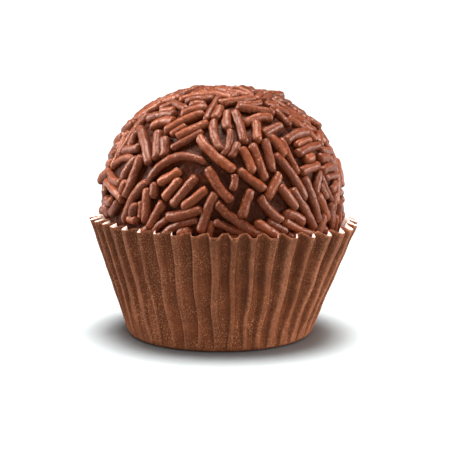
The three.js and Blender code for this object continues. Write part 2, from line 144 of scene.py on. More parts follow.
# Settling: rounds, and the overlap, as a share of their thickness, above which one is left out
PHASES = ((60, 0.5), (40, 0.33), (40, 0.2))
SPACING = 0.96  # closest that two lie, in sums of their radii
PRESSED = 0.25  # share of its height above the fudge that a sprinkle falls in each round
HIGHEST = 1.0 * MM  # the most that one lies above its place on the fudge
KEPT_LOW = 2.5  # thickest radii round the listed ones where none may lie above it
PAIRING = 10  # rounds between searches for sprinkles that are near each other
WATCHED = 2.6  # thickest radii between the ones found, besides the height they may fall
TOO_LOW = 0.06 * MM  # the most that a settled one may lack of its gap to the case
DECIMALS = 9  # of metres, to which each round's result is rounded
SMALLEST = 1e-9  # that anything is divided by
# Listed sprinkles: azimuth, height, turn from level, length in mm, sideways bend in mm
PLACED = (
    # The long bent one over the front, and the row lying below it
    (-24, 24, 20, 7.8, 1.7),
    (-26, 18, 32, 3.5, 0),
    (-24, 13, 50, 3.4, 0),
    (-18, 12, 52, 4.8, 0),
    (-13, 9, 37, 4.0, 0),
    # The two slanting down beside it
    (-4, 29, -45, 6.6, -0.4),
    (-2, 15, -54, 5.2, -0.2),
    # The low front, round the bare fudge
    (-32, 1, 57, 4.0, 0),
    (-46, 6, 55, 6.8, 0.5),
    (-7, 3, 70, 5.4, 0.2),
    (6, 0, -37, 6.6, -0.4),
    # The left shoulder
    (-49, 33, -43, 7.4, 0.3),
    (-38, 33, -70, 4.4, 0),
    (-26, 46, 38, 5.6, 0.3),
    (-18, 41, 32, 4.4, 0),
    (-74, 57, 40, 7.4, 0.6),
    # The right shoulder and the steep ones below it
    (10, 43, -84, 5.4, 0),
    (26, 54, -16, 5.2, 0),
    (30, 41, 22, 3.6, 0),
    (17, 25, -76, 5.0, 0),
    (23, 28, -88, 4.4, 0),
    (13, 17, -38, 4.2, 0),
    (10, 7, 71, 3.8, 0),
    (23, 14, 55, 3.8, 0),
    (21, 4, -46, 4.4, -0.4),
    (34, 18, -59, 7.0, 0.3),
    (40, 3, -55, 6.6, 0),
    (46, 7, -69, 6.4, 0),
    (47, 21, 8, 4.0, 0),
    (51, 30, 9, 5.6, 0.2),
)

# Where one stands out of the coat: azimuth, height, and the slope at which its end is lifted
STICKING_OUT = (
    (84, 56, 0.2),
    (82, 38, 0.25),
    (-82, 8, -0.2),
    (-62, 64, 0.06),
    (25, 68, -0.15),
    (130, 40, 0.25),
    (165, 15, -0.25),
    (-145, 25, 0.25),
    (-170, 55, 0.2),
    (110, 5, 0.25),
    (-115, 0, -0.25),
)
LENGTH_OUT = (3.1 * MM, 4.6 * MM)  # the shortest and longest that may stand out
SPRINKLE_SIDES = 14
RING_SPACING = 0.4 * MM
MIDDLE_RINGS = 2  # at least, between the rounded ends
END_RINGS = 4
END_ROUNDING = (0.35, 0.9)  # share of the radius over which an end is rounded off
SLANT = 0.7  # slope of the ends, at most half to each side
SLANT_POWER = 4  # by which it grows from the middle to the ends
# Unevenness of a sprinkle's thickness, as a share of it: size of the knobbles, and their height
KNOBBLES = ((1.1 * MM, 0.2), (0.35 * MM, 0.12))
KNOBBLE_SHIFT = 1000  # the furthest that they are shifted along a sprinkle, in their sizes

# The colours, as a screen shows them, 0 to 255 -----------------------------------------------

SPRINKLE_BROWNS = ((72, 30, 14), (82, 36, 17), (95, 44, 21))
SPRINKLE_GRAINS = (132, 79, 50)
FUDGE_BROWNS = ((33, 8, 1), (43, 13, 3), (59, 23, 8))
PAPER_BROWNS = ((82, 40, 20), (101, 55, 32))
PAPER_SPECKS = (176, 122, 86)
# the painted highlight on the paper's ridges
PAPER_HIGHLIGHT = (152, 102, 76)
LINING_CREAMS = ((206, 174, 160), (219, 190, 177))

# The camera and the lights -------------------------------------------------------------------

PICTURE_SIDE = 453  # pixels
FOCAL_PIXELS = 1100
SENSOR_WIDTH = 36  # millimetres
CLIP_START = 0.01
CAMERA_DISTANCE = 149.5 * MM
CAMERA_HEIGHT = 10.94  # degrees above the horizon
AIM_HEIGHT = 7.68 * MM  # of the point on the case's axis that the camera's distance is taken from
AIM_PIXEL = (219.9, 275.4)  # where that point shows, from the picture's left and its top
FLOOR_REACH = 3.0  # metres, to each side
BACKGROUND = 1.05  # its strength, up to a little above the horizon
SKY_RISE = (0.06, 0.1)  # sines of the heights between which the sky takes over from it
SKY = (0.08, 0.25)  # the sky's strength over the front and over the back
SKY_TURN = 0.6  # how far to the front and the back these are reached, 1 being the horizon
SUN_STRENGTH = 11.7
SUN_WIDTH = 30  # degrees
SUN_TILT = (-0.5, 1, 0)  # degrees about the axes, from straight overhead


def random_numbers(seed):
    """Repeatable random numbers from 0 to 1, the same as the ones the solid is made with."""
    word = 0xFFFFFFFF
    state = seed
    while True:
        state = (state + 0x6D2B79F5) & word
        t = ((state ^ (state >> 15)) * (state | 1)) & word
        t ^= (t + (((t ^ (t >> 7)) * (t | 61)) & word)) & word
        yield (t ^ (t >> 14)) / 4294967296


def direction(azimuth, height):
    """The unit vectors that point that way."""
    azimuth, height = np.broadcast_arrays(azimuth, height)
    return np.stack(
        (np.sin(azimuth) * np.cos(height), -np.cos(azimuth) * np.cos(height), np.sin(height)),
        axis=-1,
    )


# Meshes --------------------------------------------------------------------------------------


def make_piece(name, points, faces, materials, face_materials=None):
    """A smooth mesh; the last argument says which of its materials each face has."""
    mesh = bpy.data.meshes.new(name)
    mesh.from_pydata([tuple(p) for p in points], [], faces)
    mesh.polygons.foreach_set("use_smooth", [True] * len(mesh.polygons))
    for material in materials:
        mesh.materials.append(material)
    if face_materials is not None:
        mesh.polygons.foreach_set("material_index", face_materials)
    mesh.update()
    piece = bpy.data.objects.new(name, mesh)
    bpy.context.scene.collection.objects.link(piece)
    return piece


# The paper -----------------------------------------------------------------------------------


def flute_azimuth(flute):
    """Where a place that is counted in flutes lies round the case."""
    even = flute * 360 / FLUTES
    once = BUNCH_ONCE * np.sin(np.radians(even - BUNCH_ONCE_FROM))
    twice = BUNCH_TWICE * np.sin(np.radians(2 * (even - BUNCH_TWICE_FROM)))
    return np.radians(even + once - twice + BUNCH_TURN)


def wall_lean(azimuth):
    lean = WALL_LEAN
    for middle, more, width in SAGS:
        away = (np.degrees(azimuth) - middle + 180) % 360 - 180
        lean = lean + more * np.exp(-((away / width) ** 2))
    return np.radians(lean)


def flute_growth(along):
    """The share of its full depth that a flute has at a distance up from the base."""
    return (np.maximum(0, along) / WALL_LENGTH) ** FLUTE_GROWTH


def ridge_draws(flute):
    """Four numbers from -1 to 1 that differ from ridge to ridge."""
    ridge = np.round(flute) % FLUTES
    return [np.sin(step * ridge + step) for step in RIDGE_STEPS]


def across_ridge(flute, along):
    """The distance from the nearest ridge's middle, and half the width of that ridge's top."""
    draws = ridge_draws(flute)
    free = 1 - np.clip(along / WALL_LENGTH, 0, 1) ** WANDER_POWER
    bends = np.sin(along / WANDER_LENGTH + WANDER_PHASE * draws[1])
    wander = WANDER * free * (draws[0] + bends)
    return flute - np.round(flute) - wander, RIDGE_TOP * (1 + TOP_VARIES * draws[2])


def flute_wave(flute, along):
    """How far out the paper lies: 1 on a full ridge, and 0 where a fold is deepest."""
    across, top = across_ridge(flute, along)
    near_rim = np.clip(along / WALL_LENGTH, 0, 1) ** RIM_POWER
    slope = np.where(across < 0, RIDGE_LEFT, RIDGE_RIGHT) * (1 + RIM_SPREAD * near_rim)
    share = np.clip(1 + (top - np.abs(across)) / slope, 0, 1)
    rounded = RIDGE_ROUNDING[0] + (RIDGE_ROUNDING[1] - RIDGE_ROUNDING[0]) * near_rim
    share = (1 - rounded) * share + rounded * share**2 * (3 - 2 * share)
    fold_end = 1 - RIDGE_TOP - RIDGE_LEFT
    fold = FOLD_TILT * np.maximum(0, 1 - (flute - np.floor(flute)) / fold_end)
    return np.maximum(share * (1 - UNEVEN * (0.5 + 0.5 * ridge_draws(flute)[3])), fold)


def ridge_highlight(flute, along):
    """How strongly a highlight is painted on the paper: most along the left edges of the ridges,
    less over their tops.
    """
    across, top = across_ridge(flute, along)
    line = np.exp(-(((across + top) / HIGHLIGHT_WIDTH) ** 2))
    strength = 1 - LESS_HIGHLIGHT * (0.5 - 0.5 * ridge_draws(flute)[1])
    painted_highlight = HIGHLIGHT_LINE * line + HIGHLIGHT_TOP * (np.abs(across) < top)
    return np.where(along > 0, painted_highlight * strength, 0)


def paper_middle(flute, along):
    """The middle of the paper, at a place counted in flutes and a distance up from the base."""
    azimuth = flute_azimuth(flute)
    lean = wall_lean(azimuth)
    out, up = np.sin(lean), np.cos(lean)
    radius = BASE_RADIUS + np.minimum(along, 0) + out * np.maximum(along, 0)
    height = up * np.maximum(along, 0)
    t = np.clip((along + BASE_FOLD) / (2 * BASE_FOLD), 0, 1)
    folded = np.abs(along) < BASE_FOLD
    fold_radius = BASE_RADIUS - BASE_FOLD * (1 - t) ** 2 + BASE_FOLD * out * t**2
    radius = np.where(folded, fold_radius, radius)
    height = np.where(folded, BASE_FOLD * up * t**2, height)
    inwards = FLUTE_DEPTH * flute_growth(along) * (1 - flute_wave(flute, along))
    radius = radius - up * inwards
    height = CAD_PAPER / 2 + height + out * inwards
    return np.stack((np.sin(azimuth) * radius, -np.cos(azimuth) * radius, height), axis=-1)


def wrinkled(points, along):
    """The paper's points, pulled inwards by faint wrinkles that run up the wall."""
    moved = points.copy()
    for point, reach in zip(moved.reshape(-1, 3), along.reshape(-1)):
        if reach > 0:
            place = Vector(point) / WRINKLE_SIZE
            place.z /= WRINKLE_STRETCH
            deep = WRINKLE * (0.5 + 0.5 * noise.noise(place)) * min(1, reach / BASE_FOLD)
            point[:2] *= 1 - deep / math.hypot(point[0], point[1])
    return moved


def case_distance(points):
    """The distance from points inside or above the case to the surface that is kept clear."""
    lean = wall_lean(np.arctan2(points[:, 0], -points[:, 1]))
    rim = WALL_LENGTH * np.cos(lean) + KEPT_CLEAR * np.sin(lean)
    height = points[:, 2]
    along = np.minimum(height, rim) / np.cos(lean)
    clear = KEPT_CLEAR * flute_growth(along) * np.cos(lean)
    inwards = BASE_RADIUS + along * np.sin(lean) - clear - np.hypot(points[:, 0], points[:, 1])
    apart = np.where(height < rim, inwards * np.cos(lean), np.hypot(inwards, height - rim))
    return apart - CAD_PAPER / 2


def make_case(outside, inside):
    """The paper's two sides, which meet at the cut edge, with how strongly a highlight is painted
    at each point.
    """
    columns = FLUTES * COLUMNS_PER_FLUTE
    flute = np.arange(columns)[:, None] / COLUMNS_PER_FLUTE
    base = np.linspace(BASE_MIDDLE - BASE_RADIUS, -BESIDE_FOLD[0] * BASE_FOLD, BASE_ROWS)
    fold = np.linspace(-BASE_FOLD, BASE_FOLD, FOLD_ROWS)
    wall = np.linspace(BESIDE_FOLD[1] * BASE_FOLD, WALL_LENGTH, WALL_ROWS)
    along = np.concatenate((base, fold, wall))[None, :]
    flute, along = np.broadcast_arrays(flute, along)
    middle = wrinkled(paper_middle(flute, along), along)
    across = np.roll(middle, -1, axis=0) - np.roll(middle, 1, axis=0)
    normal = np.cross(across, np.gradient(middle, axis=1))
    normal *= PAPER / 2 / np.linalg.norm(normal, axis=-1, keepdims=True)
    section = np.concatenate((middle + normal, (middle - normal)[:, ::-1]), axis=1)
    rows = section.shape[1]
    points = section.reshape(-1, 3).tolist()
    points += [[0, 0, points[0][2]], [0, 0, points[rows - 1][2]]]
    faces, side = [], []
    for column in range(columns):
        here, there = column * rows, (column + 1) % columns * rows
        for row in range(rows - 1):
            faces.append((here + row, there + row, there + row + 1, here + row + 1))
            side.append(0 if row < rows / 2 else 1)
        faces.append((len(points) - 2, there, here))
        faces.append((len(points) - 1, here + rows - 1, there + rows - 1))
        side += [0, 1]
    piece = make_piece("paper_case_fine", points, faces, (outside, inside), side)
    painted_highlight = np.repeat(ridge_highlight(flute, along), 2, axis=0).reshape(columns, 2, -1)
    painted_highlight = np.concatenate((painted_highlight[:, 0], painted_highlight[:, 1, ::-1]), axis=1).reshape(-1)
    attribute = piece.data.attributes.new("painted_highlight", "FLOAT", "POINT")
    attribute.data.foreach_set("value", [*painted_highlight.tolist(), 0, 0])
    return piece


# The fudge and sprinkles ---------------------------------------------------------------------


def fudge_points(towards):
    """The fudge's surface in directions from its middle."""
    towards = np.atleast_2d(towards)
    azimuth = np.arctan2(towards[:, 0], -towards[:, 1])
    level, up = np.hypot(towards[:, 0], towards[:, 1]), towards[:, 2]
    reach = np.where(up > 0, BALL_UP, BALL_DOWN)
    power = np.where(up > 0, SHOULDER, TAPER)
    shares = (level / BALL_RADIUS) ** power + (np.abs(up) / reach) ** power
    smooth = shares ** (-1 / power)
    # Three broad lumps round the ball, and five that lean over as they rise
    lumps = np.sin(3 * azimuth + 1) * level + np.sin(5 * azimuth + 4 * up) * level**2
    points = towards * (smooth * (1 + LUMP * lumps))[:, None] + BALL_CENTRE
    points[:, 2] = np.maximum(points[:, 2], CAD_PAPER + GAP)
    return points


def flow(azimuth, height):
    """The way most sprinkles lie: steep low on the ball, and level near its top."""
    x = np.clip((np.degrees(height) - STEEP_BELOW) / (LEVEL_ABOVE - STEEP_BELOW), 0, 1)
    slope = LEVEL + (STEEP - LEVEL) * (1 - x * x * (3 - 2 * x))
    return np.radians(np.where(np.sin(azimuth) > 0, -slope, slope))


class Coat:
    """All the sprinkles, with a row for each in arrays of their places, ways and sizes."""

    ARRAYS = ("middle", "along", "length", "bend", "radius", "held", "highest")

    def __init__(self, azimuth, height, turn, length, bend, radius, rise, lean):
        self.length, self.bend, self.radius = length, bend, radius
        out = direction(azimuth, height)
        level = direction(azimuth + math.pi / 2, 0)
        up = np.cross(out, level)
        turned = level * np.cos(turn)[:, None] + up * np.sin(turn)[:, None]
        self.along = turned + out * lean[:, None]
        self.along /= np.linalg.norm(self.along, axis=1, keepdims=True)
        self.middle = fudge_points(out) + out * (self.rest(0.0, slice(None)) + rise)[:, None]
        self.held = np.zeros(len(length), bool)
        self.highest = np.full(len(length), HIGHEST)
        self.make_beads()

    def make_beads(self):
        """A row of points along each sprinkle's axis, a radius apart at most, and how far
        the sprinkle swings when each is pushed, as a rod does about its middle."""
        spans = self.length - 2 * self.radius
        counts = np.ceil(spans / self.radius).astype(int) + 1
        self.owner = np.repeat(np.arange(len(counts)), counts)
        rows = [np.linspace(-span / 2, span / 2, count) for span, count in zip(spans, counts)]
        self.t = np.concatenate(rows)
        self.swing = 12 * self.t / self.length[self.owner] ** 2

    def arch(self, which):
        """How far the ball's roundness falls from the middle of a sprinkle to its ends."""
        return self.length[which] ** 2 / (8 * BALL_RADIUS)

    def rest(self, t, which):
        """The height over the fudge of a point on the axis of a sprinkle that lies on it."""
        out = (2 * t / self.length[which]) ** 2
        return self.radius[which] * (1 - 2 * SUNK) + (1 - HUG) * self.arch(which) * (out - 0.5)

    def at(self, which, t, aside=0.0, above=0.0):
        """Points by their distances along, aside of and above the middles of sprinkles."""
        along = self.along[which]
        normal = self.middle[which] - BALL_CENTRE
        normal = normal - along * (normal * along).sum(axis=-1, keepdims=True)
        normal /= np.linalg.norm(normal, axis=-1, keepdims=True)
        out = (2 * t / self.length[which]) ** 2
        aside = aside + self.bend[which] * (0.5 - out)
        above = above - HUG * self.arch(which) * out
        t, aside, above = (np.asarray(value)[..., None] for value in (t, aside, above))
        return self.middle[which] + along * t + np.cross(normal, along) * aside + normal * above

    def beads(self):
        return self.at(self.owner, self.t)

    def total(self, values, owner):
        """The sum of each sprinkle's values."""
        columns = [np.bincount(owner, column, len(self.length)) for column in values.T]
        return np.stack(columns, axis=-1)

    def keep(self, kept):
        for name in self.ARRAYS:
            setattr(self, name, getattr(self, name)[kept])
        self.make_beads()

    def join(self, other):
        for name in self.ARRAYS:
            setattr(self, name, np.concatenate((getattr(self, name), getattr(other, name))))
        self.make_beads()

    def move(self, pushes, swings, owner):
        """Shifts and swings each sprinkle by the mean of the pushes on its beads."""
        number = np.maximum(1, np.bincount(owner, minlength=len(self.length)))[:, None]
        free = ~self.held[:, None]
        self.middle += free * self.total(pushes, owner) / number
        self.along += free * self.total(pushes * swings[:, None], owner) / number
        self.along /= np.linalg.norm(self.along, axis=1, keepdims=True)

    def close_pairs(self, beads):
        """The beads of two sprinkles, not both held, that may soon come to touch."""
        squares = (beads**2).sum(axis=1)
        apart = squares[:, None] + squares[None] - 2 * beads @ beads.T
        near = np.triu(apart < (WATCHED * SPRINKLE_RADIUS[1] + TOSSED) ** 2, 1)
        first, second = np.nonzero(near)
        one, other = self.owner[first], self.owner[second]
        loose = (one != other) & ~(self.held[one] & self.held[other])
        return first[loose], second[loose]

    def overlaps(self, beads, first, second):
        """Where two sprinkles cut into each other: their beads, how deep, and which way."""
        apart = beads[second] - beads[first]
        distance = np.linalg.norm(apart, axis=1)
        closest = SPACING * (self.radius[self.owner[first]] + self.radius[self.owner[second]])
        deep = distance < closest
        way = apart[deep] / distance[deep, None]
        return first[deep], second[deep], (closest - distance)[deep], way

    def push_apart(self, first, second):
        """Moves two that cut into each other by as much as each can, until they just touch."""
        first, second, depth, way = self.overlaps(self.beads(), first, second)
        owners = np.concatenate((self.owner[first], self.owner[second]))
        yields = [
            ~self.held[self.owner[bead]] * (1 + self.swing[bead] * self.t[bead])
            for bead in (first, second)
        ]
        share = (depth / np.maximum(SMALLEST, yields[0] + yields[1]))[:, None] * way
        swing = np.concatenate((self.swing[first], self.swing[second]))
        self.move(np.concatenate((-share, share)), swing, owners)

    def press(self, pressed):
        """Lifts what is too deep in the fudge, and lets down what is above it."""
        beads = self.beads()
        out = beads - BALL_CENTRE
        reach = np.linalg.norm(out, axis=1)
        out /= reach[:, None]
        surface = np.linalg.norm(fudge_points(out) - BALL_CENTRE, axis=1)
        short = surface + self.rest(self.t, self.owner) - reach
        fall = np.minimum(pressed * short, short + self.highest[self.owner])
        lift = np.where(short > 0, short, fall)
        self.move(out * lift[:, None], self.swing, self.owner)

    def leave_case(self):
        """Pushes what is too near the paper inwards and as far upwards."""
        beads = self.beads()
        short = self.radius[self.owner] + GAP - case_distance(beads)
        beads, owner, swing, short = (x[short > 0] for x in (beads, self.owner, self.swing, short))
        inwards = -beads / np.hypot(beads[:, 0], beads[:, 1])[:, None]
        inwards[:, 2] = 1
        self.move(inwards * short[:, None] / 2, swing, owner)

    def settle(self, rounds):
        """Rounding each round's result keeps the arrangement the same on every machine."""
        for turn in range(rounds):
            if turn % PAIRING == 0:
                pairs = self.close_pairs(self.beads())
            self.push_apart(*pairs)
            self.press(PRESSED * (1 - turn / rounds))
            self.leave_case()
            self.middle = np.round(self.middle, DECIMALS)
            self.along = np.round(self.along, DECIMALS)


def toss(draw, kinds):
    """Sprinkles above an even spiral of places over the whole ball."""
    thin, thick = SPRINKLE_RADIUS
    start = 2 * math.pi * next(draw)
    rows = []
    for i in range(COUNT):
        kind, size = 1000 * next(draw), next(draw)
        for share, shortest, longest in kinds:
            length = (shortest + (longest - shortest) * size) * MM
            kind -= share
            if kind < 0:
                break
        height = math.asin(1 - (2 * i + 1) / COUNT)
        azimuth = start + i * math.pi * (3 - math.sqrt(5)) + STRAY * (next(draw) - 0.5)
        turn = flow(azimuth, height) + math.radians(SCATTER * (next(draw) - 0.5))
        bend = BEND * length * (next(draw) - 0.5)
        radius = thin + (thick - thin) * next(draw)
        rise = TOSSED * next(draw)
        lean = LEAN * (next(draw) - 0.5)
        rows.append((azimuth, height, turn, length, bend, radius, rise, lean))
    return Coat(*np.array(rows).T)


def spread_sprinkles():
    """Sprinkles tossed evenly over the fudge, which settle on it and push each other apart."""
    draw = random_numbers(SEED)
    azimuth, height, turn, length, bend = np.array(PLACED).T
    zeros = np.zeros(len(azimuth))
    angles = np.radians((azimuth, height, turn))
    coat = Coat(*angles, length * MM, bend * MM, zeros + PLACED_RADIUS, zeros, zeros)
    coat.held = zeros == 0
    for kinds in TOSSES:
        tossed = toss(draw, kinds)
        out = tossed.middle - BALL_CENTRE
        out /= np.linalg.norm(out, axis=1, keepdims=True)
        aimed = fudge_points(out)
        covered = tossed.middle[:, 2] > LOWEST
        for azimuth, height, reach in BARE:
            away = np.arccos(np.clip(out @ direction(*np.radians((azimuth, height))), -1, 1))
            covered &= np.degrees(away) > reach
        beads = coat.beads()
        held = coat.held[coat.owner]
        for index, place in enumerate(aimed):
            near = np.linalg.norm(beads - place, axis=1)
            covered[index] &= near.min() > NEAREST
            apart = near[held].min() / SPRINKLE_RADIUS[1]
            tossed.highest[index] *= min(1, max(0, apart - KEPT_LOW))
        tossed.keep(covered)
        coat.join(tossed)
        for rounds, deepest in PHASES:
            coat.settle(rounds)
            drop_crossing(coat, deepest)
    lift_ends(coat)
    return coat


def lift_ends(coat):
    """Lifts one end of the sprinkle that is nearest to each of those places."""
    out = coat.middle - BALL_CENTRE
    out /= np.linalg.norm(out, axis=1, keepdims=True)
    fits = ~coat.held & (coat.length > LENGTH_OUT[0]) & (coat.length < LENGTH_OUT[1])
    for azimuth, height, slope in STICKING_OUT:
        near = out @ direction(*np.radians((azimuth, height)))
        which = np.argmax(np.where(fits, near, -1))
        coat.middle[which] += out[which] * abs(slope) * coat.length[which] / 2
        coat.along[which] += out[which] * slope
        coat.along[which] /= np.linalg.norm(coat.along[which])


def drop_crossing(coat, deepest):
    """Leaves out the sprinkles that found no room."""
    beads = coat.beads()
    low = case_distance(beads) < coat.radius[coat.owner] + GAP - TOO_LOW
    kept = np.bincount(coat.owner[low], minlength=len(coat.length)) == 0
    first, second, depth, _ = coat.overlaps(beads, *coat.close_pairs(beads))
    first, second = coat.owner[first], coat.owner[second]
    share = depth / (coat.radius[first] + coat.radius[second])
    for i in np.argsort(-share):
        if share[i] <= deepest:
            break
        pair = (first[i], second[i])
        if kept[first[i]] and kept[second[i]]:
            kept[min(pair, key=lambda which: (coat.held[which], coat.length[which]))] = False
    coat.keep(kept | coat.held)


def knobbles(radius, around, t, phase):
    """How much thicker a sprinkle is than its radius round one ring."""
    total = np.zeros(len(around))
    for size, height in KNOBBLES:
        for i, angle in enumerate(around):
            place = Vector((radius * math.cos(angle), radius * math.sin(angle), t)) / size
            total[i] += height * noise.noise(place + Vector((0, 0, KNOBBLE_SHIFT * phase)))
    return total


def make_sprinkles(coat, material):
    """The sprinkles as bent rods in rings, with a tint for each."""
    points, faces, tints = [], [], []
    around = np.arange(SPRINKLE_SIDES) * 2 * math.pi / SPRINKLE_SIDES
    draw = random_numbers(SEED + 1)
    for which, (length, radius) in enumerate(zip(coat.length, coat.radius)):
        tint = next(draw)
        low, high = END_ROUNDING
        ends = [radius * (low + (high - low) * next(draw)) for _ in range(2)]
        slants = [SLANT * (next(draw) - 0.5) for _ in range(2)]
        phase = next(draw)
        quarter = np.linspace(0, math.pi / 2, END_RINGS + 1)[1:]
        first = -length / 2 + ends[0] * (1 - np.cos(quarter))
        last = length / 2 - ends[1] * (1 - np.cos(quarter[::-1]))
        count = max(MIDDLE_RINGS + 2, math.ceil(length / RING_SPACING))
        middle = np.linspace(first[-1], last[0], count)[1:-1]
        stations = np.concatenate((first, middle, last))
        shares = np.concatenate((np.sin(quarter), np.ones(len(middle)), np.sin(quarter[::-1])))
        start = len(points)
        points.append(coat.at(which, -length / 2))
        for t, share in zip(stations, shares):
            ring = radius * share * (1 + knobbles(radius, around, t, phase))
            aside, above = ring * np.sin(around), ring * np.cos(around)
            slant = slants[0] if t < 0 else slants[1]
            slanted = t + slant * aside * min(1, abs(t) / (length / 2)) ** SLANT_POWER
            points.extend(coat.at(which, slanted, aside, above))
        points.append(coat.at(which, length / 2))
        rings = len(stations)
        for i in range(SPRINKLE_SIDES):
            j = (i + 1) % SPRINKLE_SIDES
            faces.append((start, start + 1 + j, start + 1 + i))
            for ring in range(rings - 1):
                here = start + 1 + ring * SPRINKLE_SIDES
                there = here + SPRINKLE_SIDES
                faces.append((here + i, here + j, there + j, there + i))
            top = start + 1 + (rings - 1) * SPRINKLE_SIDES
            faces.append((top + i, top + j, start + 1 + rings * SPRINKLE_SIDES))
        tints += [tint] * (len(points) - start)
    piece = make_piece("sprinkles", points, faces, (material,))
    attribute = piece.data.attributes.new("tint", "FLOAT", "POINT")
    attribute.data.foreach_set("value", tints)
    return piece


def make_fudge(coat, material):
    """The ball, with a rise of fudge against each sprinkle and fine dents."""
    shell = bmesh.new()
    bmesh.ops.create_icosphere(shell, subdivisions=FUDGE_DETAIL, radius=1)
    towards = np.array([v.co[:] for v in shell.verts])
    towards /= np.linalg.norm(towards, axis=1, keepdims=True)
    faces = [[v.index for v in f.verts] for f in shell.faces]
    shell.free()
    points = fudge_points(towards)
    beads = coat.beads()
    tree = kdtree.KDTree(len(beads))
    for index, bead in enumerate(beads):
        tree.insert(bead, index)
    tree.balance()
    rises = []
    for point in points:
        _, index, away = tree.find(point)
        clear = max(0, away - MENISCUS_FROM * coat.radius[coat.owner[index]])
        rise = MENISCUS * math.exp(-((clear / MENISCUS_REACH) ** 2))
        for width, depth in DENTS:
            rise += depth * noise.noise(Vector(point) / width)
        rises.append(rise)
    points = points + towards * np.array(rises)[:, None]
    points[:, 2] = np.maximum(points[:, 2], CAD_PAPER + GAP)
    return make_piece("fudge", points, faces, (material,))


# Materials -----------------------------------------------------------------------------------


def linear(red, green, blue):
    """A colour as a screen shows it, 0 to 255, as the linear colour a shader takes."""
    channels = [c / 255 for c in (red, green, blue)]
    return (*(c / 12.92 if c <= 0.04045 else ((c + 0.055) / 1.055) ** 2.4 for c in channels), 1)


def grey(value):
    return (value, value, value, 1)


def map_range(tree, value, start, end, low, high):
    """Takes the values from start to end in a node tree to the ones from low to high."""
    node = tree.nodes.new("ShaderNodeMapRange")
    limits = {"From Min": start, "From Max": end, "To Min": low, "To Max": high}
    for name, limit in limits.items():
        node.inputs[name].default_value = limit
    tree.links.new(value, node.inputs["Value"])
    return node.outputs["Result"]


MIX_INPUTS, MIX_OUTPUT = (0, 6, 7), 2  # the mix node's sockets for colours


class Material:
    """A node material around one Principled shader."""

    def __init__(self, name):
        self.material = bpy.data.materials.new(name)
        self.material.use_nodes = True
        self.nodes = self.material.node_tree.nodes
        self.links = self.material.node_tree.links
        self.shader = self.nodes["Principled BSDF"]
        self.place = self.nodes.new("ShaderNodeTexCoord").outputs["Object"]

    def link(self, output, to):
        self.links.new(output, to)

    def noise(self, size, detail=2, roughness=0.5):
        """A cloud of values whose blotches are about the given size."""
        node = self.nodes.new("ShaderNodeTexNoise")
        node.inputs["Scale"].default_value = 1 / size
        node.inputs["Detail"].default_value = detail
        node.inputs["Roughness"].default_value = roughness
        self.link(self.place, node.inputs["Vector"])
        return node.outputs["Fac"]

    def ramp(self, value, *stops):
        """The colour that a value has between stops of (value, colour)."""
        node = self.nodes.new("ShaderNodeValToRGB")
        ramp = node.color_ramp
        while len(ramp.elements) < len(stops):
            ramp.elements.new(1)
        for element, (place, colour) in zip(ramp.elements, stops):
            element.position = place
            element.color = colour
        self.link(value, node.inputs["Fac"])
        return node.outputs["Color"]

    def mix(self, share, first, second, blend="MIX"):
        """Two colours blended, each of them and the share a constant or an output."""
        node = self.nodes.new("ShaderNodeMix")
        node.data_type = "RGBA"
        node.blend_type = blend
        sockets = [node.inputs[index] for index in MIX_INPUTS]
        for value, socket in zip((share, first, second), sockets):
            if isinstance(value, bpy.types.NodeSocket):
                self.link(value, socket)
            else:
                socket.default_value = value
        return node.outputs[MIX_OUTPUT]

    def attribute(self, name):
        node = self.nodes.new("ShaderNodeAttribute")
        node.attribute_name = name
        return node

    def bump(self, *layers):
        """Relief from (value, depth in metres) layers."""
        normal = None
        for value, depth in layers:
            node = self.nodes.new("ShaderNodeBump")
            node.inputs["Strength"].default_value = 1
            node.inputs["Distance"].default_value = depth
            self.link(value, node.inputs["Height"])
            if normal is not None:
                self.link(normal, node.inputs["Normal"])
            normal = node.outputs["Normal"]
        self.link(normal, self.shader.inputs["Normal"])


BLACK, WHITE = grey(0), grey(1)
WARM = (1.0, 0.7, 0.57, 1)  # tint of the highlights on chocolate


def sprinkle_material():
    """Waxy milk chocolate, mottled, with fine paler grains and a different tint on each."""
    m = Material("chocolate_sprinkles")
    tints = zip((0.0, 0.5, 1.0), (linear(*brown) for brown in SPRINKLE_BROWNS))
    colour = m.ramp(m.attribute("tint").outputs["Fac"], *tints)
    mottle = m.ramp(m.noise(0.5 * MM, detail=3), (0.3, (0.78, 0.75, 0.74, 1)), (0.7, grey(1.15)))
    grains = m.ramp(m.noise(0.2 * MM), (0.6, BLACK), (0.74, WHITE))
    colour = m.mix(grains, m.mix(1.0, colour, mottle, "MULTIPLY"), linear(*SPRINKLE_GRAINS))
    m.link(colour, m.shader.inputs["Base Color"])
    waxy = map_range(m.material.node_tree, m.noise(0.4 * MM), 0, 1, 0.25, 0.43)
    m.link(waxy, m.shader.inputs["Roughness"])
    m.shader.inputs["Specular IOR Level"].default_value = 0.23
    m.shader.inputs["Specular Tint"].default_value = WARM
    m.bump((m.noise(0.5 * MM, detail=3, roughness=0.7), 0.13 * MM))
    return m.material


def fudge_material():
    """Soft dark chocolate that is dull, with small wet spots."""
    m = Material("chocolate_fudge")
    blotches = zip((0.3, 0.5, 0.75), (linear(*brown) for brown in FUDGE_BROWNS))
    m.link(m.ramp(m.noise(1.8 * MM, detail=4), *blotches), m.shader.inputs["Base Color"])
    wet = m.ramp(m.noise(0.5 * MM), (0.34, grey(0.12)), (0.42, grey(0.55)))
    m.link(wet, m.shader.inputs["Roughness"])
    m.shader.inputs["Specular IOR Level"].default_value = 0.08
    m.shader.inputs["Specular Tint"].default_value = WARM
    m.bump((m.noise(0.9 * MM), 0.25 * MM), (m.noise(0.3 * MM), 0.05 * MM))
    return m.material


